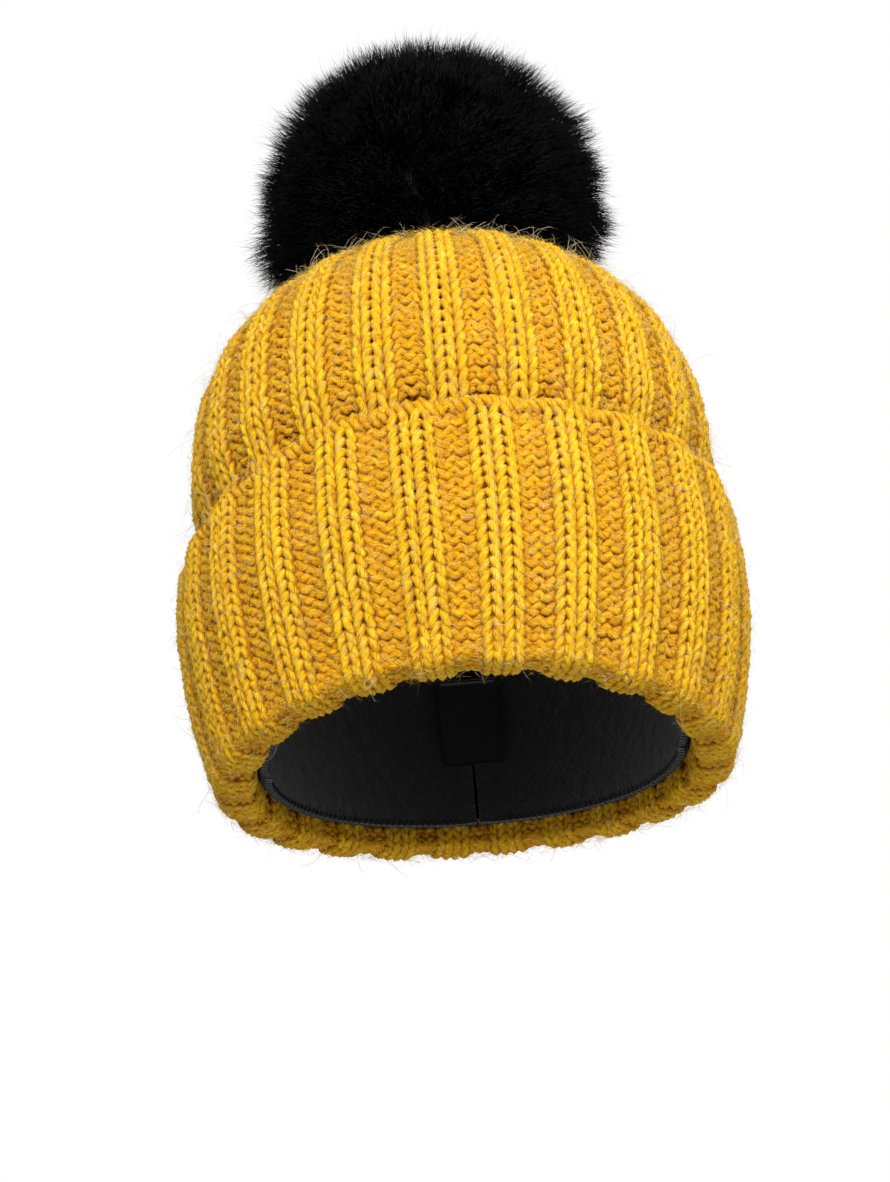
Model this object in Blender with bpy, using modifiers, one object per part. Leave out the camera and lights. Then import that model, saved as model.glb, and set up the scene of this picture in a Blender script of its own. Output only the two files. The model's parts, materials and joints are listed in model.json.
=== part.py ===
"""Knitted beanie with a turned-up cuff, a fleece lining and a fur pompom on a press stud.

Metres, +Z up. The hat stands on the fold of its cuff at z = 0, its front faces -Y and the
origin is the middle of the brim. The soft layers are turned about Z and then fitted to the
oval of a head, with the crown leaning back. The pompom and its press stud are turned about
their own axis, which starts where the crown is drawn together.
"""

import math

import bmesh
import bpy
import numpy as np
from mathutils import Matrix, Vector

# Overall form of the knit
HALF_WIDTH = 0.1075           # widest half-width, on the belly of the cuff
DEPTH_RATIO = 1.15            # front-to-back size of the oval over its width
CUFF_HEIGHT = 0.097           # brim fold to the cuff's upper edge
CUFF_BELLY_HEIGHT = 0.056     # where the cuff is widest
BULGE_RISE = 0.014            # cuff's edge to the widest part of the crown above it
DOME_RISE = 0.081             # widest part of the crown to its top
BRIM_DRAW_IN = 0.0285         # how far the brim's opening lies inside the widest half-width
CUFF_TOP_INSET = 0.0030       # how far the cuff's upper edge lies inside it
CROWN_INSET = 0.0070          # how far the crown above the cuff lies inside it
DOME_POWER = 2.65             # exponent of the dome's superellipse

# Layers
KNIT_THICKNESS = 0.008
LINING_THICKNESS = 0.003
LAYER_GAP = 0.0004            # clearance between neighbouring layers
LINING_EASE = 0.003           # extra room between lining and knit at the top
FOLD_HEIGHT = 0.014           # height of the turn of the fabric at the brim
FOLD_CORNER = 0.0055          # radius of the fold's inner edge
FOLD_FLAT = 0.0065            # width of the flat ring that the hat stands on
LINING_HEM_HEIGHT = 0.010     # brim to the lining's lower edge
BIND_OFF_RADIUS = 0.0022      # cast-off chain's half-thickness

# Lean of the crown and of the pompom
SLOUCH_START = 0.085          # height where the crown starts to lean back
CROWN_TIP = math.radians(8.0)
POMPOM_LEAN = math.radians(22.0)

# Press stud, heights measured along the pompom's axis from the top of the knit
STUD_FLANGE_RADIUS = 0.0063
STUD_FLANGE_THICKNESS = 0.0008
STUD_NECK_RADIUS = 0.0017
STUD_HEAD_RADIUS = 0.0021
STUD_HEIGHT = 0.0034
STUD_BORE_RADIUS = 0.0011
RIVET_CLEARANCE = 0.0003
CAP_RADIUS = 0.0065
CAP_THICKNESS = 0.0011
WASHER_RADIUS = 0.009
WASHER_THICKNESS = 0.0012
WASHER_DEPTH = 0.003          # top of the knit down to the washer's upper face
GATHER_YARN_RADIUS = 0.0012
SPRING_WIRE_RADIUS = 0.00035
SOCKET_RADIUS = 0.0062
SOCKET_HEIGHT = 0.0033
SOCKET_WALL = 0.0006
SOCKET_CAVITY_RADIUS = 0.0036

# Pompom
PELT_RADIUS = 0.064           # dense fur, without the loose tips
POMPOM_LIFT = 0.006           # top of the knit to the lowest fur on the axis
WADDING_RADIUS = 0.029
WADDING_HEIGHT = 0.078
PELT_SEAT = 0.0035            # height of the pelt's turned-in mouth above its lowest fur
PELT_MOUTH_RADIUS = 0.0095
BASE_DISC_RADIUS = 0.012
BASE_DISC_THICKNESS = 0.0012
DRAW_THREAD_RADIUS = 0.0006

# Care label
LABEL_WIDTH = 0.024
LABEL_LENGTH = 0.036
LABEL_THICKNESS = 0.0006
LABEL_TOP_HEIGHT = 0.072
LABEL_STANDOFF = 0.0022       # lining to the label's back
STITCH_RADIUS = 0.0005

# Fineness of the meshes
BODY_SEGMENTS = 40
DOME_STEPS = 9
WALL_STEPS = 2
GORE_COUNT = 4
PELT_SEGMENTS = 32
STUD_SEGMENTS = 24
THREAD_SIDES = 8
MERGE = 0.00001

DOME_HEIGHT = CUFF_HEIGHT + BULGE_RISE + DOME_RISE
LEAN_RATE = CROWN_TIP / (DOME_HEIGHT - SLOUCH_START)

# The drawn-in yarn and the hole in the knit clear the washer as the pompom tips about the top
WASHER_REACH = math.hypot(WASHER_RADIUS, WASHER_DEPTH + WASHER_THICKNESS)
GATHER_RING_RADIUS = WASHER_REACH + RIVET_CLEARANCE + GATHER_YARN_RADIUS
GATHER_HOLE_RADIUS = GATHER_RING_RADIUS + GATHER_YARN_RADIUS + RIVET_CLEARANCE

# Heights of the press stud's stack along the pompom's axis
SOCKET_BOTTOM = STUD_FLANGE_THICKNESS + RIVET_CLEARANCE
SOCKET_TOP = SOCKET_BOTTOM + SOCKET_HEIGHT
DISC_BOTTOM = SOCKET_TOP + RIVET_CLEARANCE
DISC_TOP = DISC_BOTTOM + BASE_DISC_THICKNESS
RIVET_BOTTOM = DISC_TOP + RIVET_CLEARANCE
PELT_BOTTOM = max(POMPOM_LIFT, DISC_TOP)
PELT_CENTRE = PELT_BOTTOM + PELT_RADIUS
WADDING_BOTTOM = PELT_BOTTOM + PELT_SEAT

MATERIALS = {
    "wool_mustard": ((0.78, 0.42, 0.03), 0.9, 0.0),
    "fleece_black": ((0.012, 0.012, 0.014), 0.95, 0.0),
    "fur_black": ((0.008, 0.008, 0.009), 0.6, 0.0),
    "wadding_white": ((0.8, 0.8, 0.78), 0.95, 0.0),
    "felt_black": ((0.02, 0.02, 0.022), 0.95, 0.0),
    "leatherette_black": ((0.02, 0.02, 0.02), 0.5, 0.0),
    "stud_nickel": ((0.62, 0.61, 0.58), 0.28, 1.0),
    "thread_black": ((0.015, 0.015, 0.017), 0.7, 0.0),
    "satin_black": ((0.03, 0.03, 0.032), 0.45, 0.0),
}


# ---------------------------------------------------------------- scene and materials

def clear_scene():
    for obj in list(bpy.data.objects):
        bpy.data.objects.remove(obj, do_unlink=True)


def new_collection(name):
    collection = bpy.data.collections.new(name)
    bpy.context.scene.collection.children.link(collection)
    return collection


def make_material(name):
    colour, roughness, metallic = MATERIALS[name]
    material = bpy.data.materials.new(name)
    material.use_nodes = True
    shader = material.node_tree.nodes["Principled BSDF"]
    shader.inputs["Base Color"].default_value = (*colour, 1.0)
    shader.inputs["Roughness"].default_value = roughness
    shader.inputs["Metallic"].default_value = metallic
    return material


def add_object(name, mesh, material, parent=None):
    obj = bpy.data.objects.new(name, mesh)
    HAT.objects.link(obj)
    obj.parent = parent
    obj.data.materials.clear()
    obj.data.materials.append(PAINTS[material])
    return obj


# ---------------------------------------------------------------- profiles

def smooth_through(points, steps=WALL_STEPS):
    """Catmull-Rom curve through the points, with the given steps on each span."""
    knots = np.array(points, float)
    first = 2 * knots[0] - knots[1]
    last = 2 * knots[-1] - knots[-2]
    knots = np.vstack([first, knots, last])
    curve = []
    for i in range(1, len(knots) - 2):
        a, b, c, d = knots[i - 1:i + 3]
        for t in np.linspace(0, 1, steps, endpoint=False):
            curve.append(0.5 * (2 * b + (c - a) * t + (2 * a - 5 * b + 4 * c - d) * t**2
                                + (3 * b - a - 3 * c + d) * t**3))
    curve.append(knots[-2])
    return np.array(curve)


def offset_inward(outline, near, far):
    """Outline moved towards its inside, by near at its first point and by far at its last."""
    tangent = np.gradient(outline, axis=0)
    tangent /= np.linalg.norm(tangent, axis=1)[:, None]
    inward = np.stack([tangent[:, 1], -tangent[:, 0]], axis=1)
    amount = np.linspace(near, far, len(outline))[:, None]
    return outline + inward * amount


def arc(centre, radius, start, end, steps):
    """Circular arc in the profile's plane, angles in degrees from +X towards +Z."""
    angles = np.radians(np.linspace(start, end, steps + 1))
    return [(centre[0] + radius * math.cos(a), centre[1] + radius * math.sin(a)) for a in angles]


def cuff_wall():
    """Outer face of the cuff, from its upper edge down to where the fold starts."""
    upper = (CUFF_HEIGHT + CUFF_BELLY_HEIGHT) / 2
    lower = (CUFF_BELLY_HEIGHT + FOLD_HEIGHT) / 2
    return smooth_through([
        (HALF_WIDTH - CUFF_TOP_INSET, CUFF_HEIGHT),
        (HALF_WIDTH - CUFF_TOP_INSET / 4, upper),
        (HALF_WIDTH, CUFF_BELLY_HEIGHT),
        (HALF_WIDTH - BRIM_DRAW_IN / 12, lower),
        (HALF_WIDTH - BRIM_DRAW_IN / 4, FOLD_HEIGHT),
    ])


def brim_opening():
    return HALF_WIDTH - BRIM_DRAW_IN


def crown_wall():
    """Outer face of the crown's fabric, from the gathered top down to the brim fold."""
    width = HALF_WIDTH - CROWN_INSET
    base = CUFF_HEIGHT + BULGE_RISE
    power = 2 / DOME_POWER
    last = math.acos((GATHER_HOLE_RADIUS / width) ** (1 / power))
    angles = np.linspace(last, 0, DOME_STEPS + 1)
    dome = np.stack([width * np.cos(angles) ** power, base + DOME_RISE * np.sin(angles) ** power], axis=1)
    inside = cuff_wall() - np.array([KNIT_THICKNESS + LAYER_GAP, 0])
    pressed = inside[inside[:, 1] > CUFF_BELLY_HEIGHT * 0.75]
    waist = smooth_through([dome[-1], pressed[0], pressed[1]])[:WALL_STEPS]
    foot = np.array([brim_opening() + KNIT_THICKNESS, FOLD_HEIGHT + LAYER_GAP])
    bend = (pressed[-1] + foot) / 2 + np.array([KNIT_THICKNESS / 8, 0])
    turn_in = smooth_through([pressed[-1], bend, foot])
    return np.vstack([dome[:-1], waist, pressed[:-1], turn_in])


def cuff_profile():
    """Closed outline of the cuff: down its outer face, round the fold, and back up inside."""
    wall = cuff_wall()
    opening = brim_opening()
    flat_end = opening + FOLD_CORNER
    flat_start = flat_end + FOLD_FLAT
    knee = smooth_through([wall[-1], ((wall[-1][0] + flat_start) / 2 + KNIT_THICKNESS / 8, FOLD_HEIGHT / 5),
                           (flat_start, 0.0)], steps=3)
    corner = arc((flat_end, FOLD_CORNER), FOLD_CORNER, 270, 180, 3)
    lip = [(opening, FOLD_HEIGHT), (opening + KNIT_THICKNESS, FOLD_HEIGHT)]
    pocket_left = opening + KNIT_THICKNESS
    pocket_right = wall[-1][0] - KNIT_THICKNESS
    pocket = [(pocket_left, KNIT_THICKNESS), (pocket_right - LAYER_GAP, KNIT_THICKNESS)]
    inner = wall[::-1] - np.array([KNIT_THICKNESS, 0])
    return np.vstack([wall[:-1], knee, corner, lip, pocket, inner])


def crown_profile():
    outer = crown_wall()
    inner = offset_inward(outer, KNIT_THICKNESS, KNIT_THICKNESS)
    inner[0] = (outer[0][0], outer[0][1] - KNIT_THICKNESS)
    inner[-1] = (outer[-1][0] - KNIT_THICKNESS, outer[-1][1])
    return np.vstack([outer, inner[::-1]])


def lining_wall():
    """Outer face of the lining, an even fit at the brim that hangs free at the top."""
    outer = crown_wall()
    near = KNIT_THICKNESS + LAYER_GAP + LINING_EASE
    far = KNIT_THICKNESS + LAYER_GAP
    wall = offset_inward(outer, near, far)
    edge = brim_opening() - LAYER_GAP
    wall[-1] = (edge, FOLD_HEIGHT + 2 * LAYER_GAP)
    tip = (LINING_THICKNESS, wall[0][1])
    hem = (edge, LINING_HEM_HEIGHT)
    return np.vstack([tip, wall, hem])


# ---------------------------------------------------------------- turning and fitting

def profile_mesh(name, points, closed):
    mesh = bpy.data.meshes.new(name)
    count = len(points)
    edges = [(i, i + 1) for i in range(count - 1)]
    if closed:
        edges.append((count - 1, 0))
    mesh.from_pydata([(r, 0.0, z) for r, z in points], edges, [])
    return mesh


def turn(name, points, material, segments, closed=True, angle=2 * math.pi, parent=None):
    """Turned solid: the profile in the XZ plane swept about Z by a Screw modifier."""
    obj = add_object(name, profile_mesh(name, points, closed), material, parent)
    screw = obj.modifiers.new("Turn", "SCREW")
    screw.axis = "Z"
    screw.angle = angle
    screw.steps = segments
    screw.render_steps = segments
    screw.use_merge_vertices = True
    screw.merge_threshold = MERGE
    screw.use_smooth_shade = True
    return obj


def bake(obj):
    """Replaces the object's mesh with its evaluated one and drops the modifiers."""
    bpy.context.view_layer.update()
    depsgraph = bpy.context.evaluated_depsgraph_get()
    mesh = bpy.data.meshes.new_from_object(obj.evaluated_get(depsgraph))
    obj.modifiers.clear()
    obj.data = mesh
    return mesh


def lean_back(height):
    """Spine of the hat at a height: its middle and its angle back from +Z."""
    if height <= SLOUCH_START:
        return Vector((0, 0, height)), 0.0
    angle = (height - SLOUCH_START) * LEAN_RATE
    back = (1 - math.cos(angle)) / LEAN_RATE
    up = SLOUCH_START + math.sin(angle) / LEAN_RATE
    return Vector((0, back, up)), angle


def worn_point(point):
    """A point of the round, upright form moved to the oval form that leans back."""
    middle, angle = lean_back(point.z)
    depth = point.y * DEPTH_RATIO
    return middle + Vector((point.x, depth * math.cos(angle), -depth * math.sin(angle)))


def fit_to_head(obj):
    for vertex in bake(obj).vertices:
        vertex.co = worn_point(vertex.co)
    return obj


def ring_profile(radius, height, thickness, sides=THREAD_SIDES):
    """Circle that turns into a ring; it starts at its top and runs down the outer side."""
    return arc((radius, height), thickness, 90, 90 - 360 * (sides - 1) / sides, sides - 1)


def smooth(obj):
    obj.data.shade_smooth()
    return obj


# ---------------------------------------------------------------- knit and lining

def build_knit():
    crown = turn("knit_crown", crown_profile(), "wool_mustard", BODY_SEGMENTS)
    fit_to_head(crown)
    cuff = turn("turned_up_cuff", cuff_profile(), "wool_mustard", BODY_SEGMENTS)
    fit_to_head(cuff)
    edge_radius = HALF_WIDTH - CUFF_TOP_INSET - KNIT_THICKNESS / 2 + LAYER_GAP
    edge_height = CUFF_HEIGHT + BIND_OFF_RADIUS + 2 * LAYER_GAP
    bind_off = turn("cuff_bind_off", ring_profile(edge_radius, edge_height, BIND_OFF_RADIUS),
                    "wool_mustard", BODY_SEGMENTS)
    fit_to_head(bind_off)


def build_lining():
    """Four fleece gores, each a quarter of the turned shell, set apart by the seam gap."""
    wall = lining_wall()
    quarter = 2 * math.pi / GORE_COUNT
    for index in range(GORE_COUNT):
        name = f"lining_gore_{index + 1}"
        gore = turn(name, wall, "fleece_black", BODY_SEGMENTS // GORE_COUNT, closed=False, angle=quarter)
        bake(gore)
        shell = gore.modifiers.new("Fleece", "SOLIDIFY")
        shell.thickness = LINING_THICKNESS
        shell.offset = -1
        shell.use_even_offset = True
        bake(gore)
        middle = quarter / 2
        apart = Matrix.Translation(LAYER_GAP * Vector((math.cos(middle), math.sin(middle), 0)))
        gore.data.transform(Matrix.Rotation(index * quarter, 4, "Z") @ apart)
        fit_to_head(gore)
    hem_radius = brim_opening() - LINING_THICKNESS / 2 - LAYER_GAP
    hem_height = LINING_HEM_HEIGHT - STITCH_RADIUS - LAYER_GAP
    thread = turn("lining_hem_thread", ring_profile(hem_radius, hem_height, STITCH_RADIUS, 6),
                  "thread_black", BODY_SEGMENTS)
    fit_to_head(thread)


# ---------------------------------------------------------------- press stud

def build_hat_half(axis):
    """Back cap with its rivet, felt washer, drawn-in yarn and stud, along the pompom's axis."""
    washer_top = -WASHER_DEPTH
    washer_bottom = washer_top - WASHER_THICKNESS
    cap_top = washer_bottom - RIVET_CLEARANCE
    bore = STUD_BORE_RADIUS
    rivet = bore - RIVET_CLEARANCE
    turn("stud_back_cap", [
        (0, STUD_FLANGE_THICKNESS + bore),
        (rivet, STUD_FLANGE_THICKNESS),
        (rivet, cap_top),
        (CAP_RADIUS, cap_top - CAP_THICKNESS / 3),
        (CAP_RADIUS, cap_top - CAP_THICKNESS / 2),
        (CAP_RADIUS * 0.8, cap_top - CAP_THICKNESS),
        (0, cap_top - CAP_THICKNESS * 1.4),
    ], "stud_nickel", STUD_SEGMENTS, closed=False, parent=axis)
    stem = STUD_NECK_RADIUS
    washer_hole = stem + RIVET_CLEARANCE
    turn("stud_felt_washer", [
        (washer_hole, washer_top),
        (WASHER_RADIUS, washer_top),
        (WASHER_RADIUS, washer_bottom),
        (washer_hole, washer_bottom),
    ], "felt_black", STUD_SEGMENTS, parent=axis)
    turn("crown_gather_yarn", ring_profile(GATHER_RING_RADIUS, 0, GATHER_YARN_RADIUS),
         "wool_mustard", STUD_SEGMENTS, parent=axis)
    turn("snap_stud", [
        (bore, STUD_HEIGHT),
        (STUD_NECK_RADIUS, STUD_HEIGHT),
        (STUD_HEAD_RADIUS, STUD_HEIGHT * 0.88),
        (STUD_HEAD_RADIUS, STUD_HEIGHT * 0.72),
        (STUD_NECK_RADIUS, STUD_HEIGHT * 0.6),
        (STUD_NECK_RADIUS, STUD_FLANGE_THICKNESS),
        (STUD_FLANGE_RADIUS, STUD_FLANGE_THICKNESS * 0.6),
        (STUD_FLANGE_RADIUS, 0),
        (stem, 0),
        (stem, washer_bottom),
        (bore, washer_bottom),
    ], "stud_nickel", STUD_SEGMENTS, parent=axis)


def build_pompom_half(axis):
    """Spring ring, socket and rivet cap with the base disc between them."""
    spring_ring = STUD_HEAD_RADIUS + RIVET_CLEARANCE + SPRING_WIRE_RADIUS
    turn("snap_spring_ring", ring_profile(spring_ring, STUD_HEIGHT * 0.5, SPRING_WIRE_RADIUS),
         "stud_nickel", STUD_SEGMENTS, parent=axis)
    bore = STUD_BORE_RADIUS
    rivet = bore - RIVET_CLEARANCE
    roof = SOCKET_TOP - SOCKET_WALL
    mouth = STUD_HEAD_RADIUS + RIVET_CLEARANCE
    floor = SOCKET_BOTTOM + SOCKET_WALL / 2
    turn("snap_socket", [
        (bore, SOCKET_TOP),
        (SOCKET_RADIUS - SOCKET_WALL, SOCKET_TOP),
        (SOCKET_RADIUS, SOCKET_TOP - SOCKET_WALL),
        (SOCKET_RADIUS, SOCKET_BOTTOM + SOCKET_WALL / 2),
        (SOCKET_RADIUS - SOCKET_WALL, SOCKET_BOTTOM),
        (mouth, SOCKET_BOTTOM),
        (mouth, floor - SOCKET_WALL / 4),
        (SOCKET_CAVITY_RADIUS, floor - SOCKET_WALL / 4),
        (SOCKET_CAVITY_RADIUS, roof),
        (bore, roof),
    ], "stud_nickel", STUD_SEGMENTS, parent=axis)
    hole = bore + RIVET_CLEARANCE
    turn("pompom_base_disc", [
        (hole, DISC_TOP),
        (BASE_DISC_RADIUS, DISC_TOP),
        (BASE_DISC_RADIUS, DISC_BOTTOM),
        (hole, DISC_BOTTOM),
    ], "leatherette_black", STUD_SEGMENTS, parent=axis)
    turn("socket_rivet_cap", [
        (0, RIVET_BOTTOM + CAP_THICKNESS),
        (CAP_RADIUS * 0.7, RIVET_BOTTOM + CAP_THICKNESS),
        (CAP_RADIUS * 0.85, RIVET_BOTTOM + CAP_THICKNESS / 2),
        (CAP_RADIUS * 0.85, RIVET_BOTTOM),
        (rivet, RIVET_BOTTOM),
        (rivet, roof),
        (0, roof),
    ], "stud_nickel", STUD_SEGMENTS, closed=False, parent=axis)


# ---------------------------------------------------------------- pompom

def build_pompom(axis):
    """Ball of fur round an egg of wadding, drawn together at its mouth."""
    mouth_angle = math.degrees(math.asin(PELT_MOUTH_RADIUS / PELT_RADIUS))
    outer = arc((0, PELT_CENTRE), PELT_RADIUS, 90, mouth_angle - 90, 16)
    middle = WADDING_BOTTOM + WADDING_HEIGHT / 2
    wide = WADDING_RADIUS + LAYER_GAP
    tall = WADDING_HEIGHT / 2 + LAYER_GAP
    cavity_start = math.asin(PELT_MOUTH_RADIUS / wide)
    cavity = [(wide * math.sin(a), middle - tall * math.cos(a))
              for a in np.linspace(cavity_start, math.pi, 11)]
    pelt = turn("fur_pelt", [(0, outer[0][1]), *outer[1:], *cavity[:-1], (0, middle + tall)],
                "fur_black", PELT_SEGMENTS, closed=False, parent=axis)
    smooth(pelt)
    egg = [(WADDING_RADIUS * math.sin(a), middle + WADDING_HEIGHT / 2 * math.cos(a))
           for a in np.linspace(0, math.pi, 11)]
    egg[0] = (0, egg[0][1])
    egg[-1] = (0, egg[-1][1])
    turn("pompom_wadding", egg, "wadding_white", PELT_SEGMENTS, closed=False, parent=axis)
    thread_ring = PELT_MOUTH_RADIUS - DRAW_THREAD_RADIUS - LAYER_GAP
    turn("pelt_draw_thread", ring_profile(thread_ring, WADDING_BOTTOM - DRAW_THREAD_RADIUS,
                                          DRAW_THREAD_RADIUS, 6),
         "thread_black", STUD_SEGMENTS, parent=axis)


# ---------------------------------------------------------------- care label

def label_place():
    """Middle of the label's upper edge, just inside the lining at the back of the hat."""
    wall = lining_wall()
    inner = offset_inward(wall, LINING_THICKNESS, LINING_THICKNESS)
    below = inner[inner[:, 1] < LABEL_TOP_HEIGHT]
    depth = min(np.interp(LABEL_TOP_HEIGHT, inner[::-1, 1], inner[::-1, 0]),
                np.interp(LABEL_TOP_HEIGHT - LABEL_LENGTH, below[::-1, 1], below[::-1, 0]))
    sagitta = LABEL_WIDTH**2 / (8 * depth)
    return Vector((0, (depth - sagitta) * DEPTH_RATIO - LABEL_STANDOFF, LABEL_TOP_HEIGHT))


def build_label():
    place = label_place()
    bpy.ops.mesh.primitive_cube_add(size=1)
    block = bpy.context.active_object
    mesh = block.data
    bpy.data.objects.remove(block)
    mesh.transform(Matrix.Diagonal((LABEL_WIDTH, LABEL_THICKNESS, LABEL_LENGTH, 1)))
    mesh.transform(Matrix.Translation((0, 0, -LABEL_LENGTH / 2)))
    label = add_object("care_label", mesh, "satin_black")
    label.location = place
    hem = label.modifiers.new("Edges", "BEVEL")
    hem.width = LABEL_THICKNESS / 4
    hem.segments = 1
    stitch = bmesh.new()
    bmesh.ops.create_cone(stitch, cap_ends=True, segments=THREAD_SIDES, radius1=STITCH_RADIUS,
                          radius2=STITCH_RADIUS, depth=LABEL_WIDTH)
    bmesh.ops.rotate(stitch, matrix=Matrix.Rotation(math.pi / 2, 3, "Y"), verts=stitch.verts)
    bar = bpy.data.meshes.new("label_stitch")
    stitch.to_mesh(bar)
    stitch.free()
    thread = add_object("label_stitch", bar, "thread_black")
    thread.location = place + Vector((0, 0, STITCH_RADIUS + LAYER_GAP))


def build_axis():
    """Empty at the drawn-in top of the knit, whose Z is the pompom's axis."""
    middle, _ = lean_back(DOME_HEIGHT)
    axis = bpy.data.objects.new("pompom_axis", None)
    HAT.objects.link(axis)
    axis.location = middle
    axis.rotation_euler = (-POMPOM_LEAN, 0, 0)
    return axis


clear_scene()
HAT = new_collection("knit_beanie")
PAINTS = {name: make_material(name) for name in MATERIALS}
build_knit()
build_lining()
build_label()
pompom_axis = build_axis()
build_hat_half(pompom_axis)
build_pompom_half(pompom_axis)
build_pompom(pompom_axis)
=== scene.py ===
import json
import math

import bpy
import numpy as np
from mathutils import Matrix, Vector


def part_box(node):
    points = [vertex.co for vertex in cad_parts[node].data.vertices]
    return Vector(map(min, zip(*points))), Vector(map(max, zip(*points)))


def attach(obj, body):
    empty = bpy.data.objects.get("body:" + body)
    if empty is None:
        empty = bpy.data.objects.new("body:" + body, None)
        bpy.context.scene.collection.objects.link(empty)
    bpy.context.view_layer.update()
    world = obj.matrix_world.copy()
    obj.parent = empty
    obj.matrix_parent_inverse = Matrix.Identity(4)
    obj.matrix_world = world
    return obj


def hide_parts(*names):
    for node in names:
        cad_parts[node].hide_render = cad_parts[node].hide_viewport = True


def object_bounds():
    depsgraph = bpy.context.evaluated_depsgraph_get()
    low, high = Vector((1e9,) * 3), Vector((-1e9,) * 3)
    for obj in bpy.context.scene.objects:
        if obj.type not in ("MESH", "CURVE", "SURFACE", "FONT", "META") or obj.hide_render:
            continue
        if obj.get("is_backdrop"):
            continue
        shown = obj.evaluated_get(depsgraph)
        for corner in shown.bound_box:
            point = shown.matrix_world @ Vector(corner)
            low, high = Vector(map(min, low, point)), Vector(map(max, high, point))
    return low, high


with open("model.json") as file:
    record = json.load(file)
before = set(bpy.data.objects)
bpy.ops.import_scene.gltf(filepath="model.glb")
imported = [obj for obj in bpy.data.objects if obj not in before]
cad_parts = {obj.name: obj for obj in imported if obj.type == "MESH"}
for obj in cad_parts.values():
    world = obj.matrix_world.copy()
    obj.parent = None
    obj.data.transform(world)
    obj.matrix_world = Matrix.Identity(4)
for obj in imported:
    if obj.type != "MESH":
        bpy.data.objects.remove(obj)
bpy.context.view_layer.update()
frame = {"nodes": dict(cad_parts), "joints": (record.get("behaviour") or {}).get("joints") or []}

# ---------------------------------------------------------------- room, light and camera
# A plain pale floor well below the hat, so that it can also be seen from underneath, an even
# white surround, one large soft light in front and above, and a weaker one on the other side.

FLOOR_HEIGHT = -1.75
FLOOR_SIZE = 240.0
FLOOR_GLOW = 0.42  # keeps the floor pale to the eye without lighting the hat
SURROUND_LIGHT = 0.24
AIM = Vector((-0.006, 0.0, 0.0738))
EYE_DISTANCE = 1.150
EYE_BELOW = math.radians(22.7)  # the eye looks up at the brim
EYE_ROLL = math.radians(4.42)
LENS_MM = 92.8


def feed(tree, socket, value):
    """Gives a shader socket another node's output, or a plain value."""
    if isinstance(value, bpy.types.NodeSocket):
        tree.links.new(value, socket)
    else:
        socket.default_value = value


def node(tree, kind, inputs=None, **settings):
    """Adds a shader node, sets its settings, and feeds its inputs."""
    made = tree.nodes.new("ShaderNode" + kind)
    for key, value in settings.items():
        setattr(made, key, value)
    for key, value in (inputs or {}).items():
        feed(tree, made.inputs[key], value)
    return made


def new_material(name, colour, roughness, **sockets):
    """A Principled material. Socket names are written with _ for spaces."""
    material = bpy.data.materials.new(name)
    material.use_nodes = True
    tree = material.node_tree
    shader = tree.nodes["Principled BSDF"]
    shader.inputs["Base Color"].default_value = (*colour, 1.0)
    shader.inputs["Roughness"].default_value = roughness
    for key, value in sockets.items():
        shader.inputs[key.replace("_", " ")].default_value = value
    return material, tree, shader


def math_node(tree, operation, *values):
    """One arithmetic step on numbers or other nodes' outputs."""
    made = node(tree, "Math", operation=operation)
    for socket, value in zip(made.inputs, values):
        feed(tree, socket, value)
    return made.outputs["Value"]


def lay_floor():
    """One square of matt pale floor."""
    half = FLOOR_SIZE / 2
    mesh = bpy.data.meshes.new("floor")
    corners = [(-half, -half), (half, -half), (half, half), (-half, half)]
    mesh.from_pydata([(x, y, FLOOR_HEIGHT) for x, y in corners], [], [(0, 1, 2, 3)])
    paint, tree, shader = new_material("floor_paint", (0.86, 0.86, 0.86), 0.8)
    seen = math_node(tree, "MULTIPLY", node(tree, "LightPath").outputs["Is Camera Ray"], FLOOR_GLOW)
    shader.inputs["Emission Color"].default_value = (1.0, 1.0, 1.0, 1.0)
    feed(tree, shader.inputs["Emission Strength"], seen)
    mesh.materials.append(paint)
    floor = bpy.data.objects.new("floor", mesh)
    bpy.context.scene.collection.objects.link(floor)
    floor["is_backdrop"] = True


def light_surround():
    """White all round to the eye, and a weaker even light on the hat."""
    world = bpy.data.worlds.new("surround")
    world.use_nodes = True
    bpy.context.scene.world = world
    tree = world.node_tree
    tree.nodes.clear()
    path = node(tree, "LightPath")
    strength = node(tree, "MapRange", {"Value": path.outputs["Is Camera Ray"],
                                       "To Min": SURROUND_LIGHT, "To Max": 1.0})
    light = node(tree, "Background", {"Color": (1, 1, 1, 1), "Strength": strength.outputs["Result"]})
    node(tree, "OutputWorld", {"Surface": light.outputs["Background"]})


def add_light(name, place, size, watts):
    """A square soft light that faces the middle of the hat."""
    lamp = bpy.data.lights.new(name, "AREA")
    lamp.size = size
    lamp.energy = watts
    holder = bpy.data.objects.new(name, lamp)
    holder.location = place
    holder.rotation_euler = (AIM - Vector(place)).to_track_quat("-Z", "Y").to_euler()
    bpy.context.scene.collection.objects.link(holder)


def place_camera():
    """The eye stands in front of the hat and below its brim, looking up, a little tilted."""
    back = Vector((0, -math.cos(EYE_BELOW), -math.sin(EYE_BELOW)))
    level_up = Vector((0, -math.sin(EYE_BELOW), math.cos(EYE_BELOW)))
    up = level_up * math.cos(EYE_ROLL) + Vector((math.sin(EYE_ROLL), 0, 0))
    right = up.cross(back)
    lens = bpy.data.cameras.new("camera")
    lens.lens = LENS_MM
    lens.clip_start = 0.01
    camera = bpy.data.objects.new("camera", lens)
    axes = Matrix((right, up, back)).transposed().to_4x4()
    camera.matrix_world = Matrix.Translation(AIM + back * EYE_DISTANCE) @ axes
    bpy.context.scene.collection.objects.link(camera)
    bpy.context.scene.camera = camera


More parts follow.
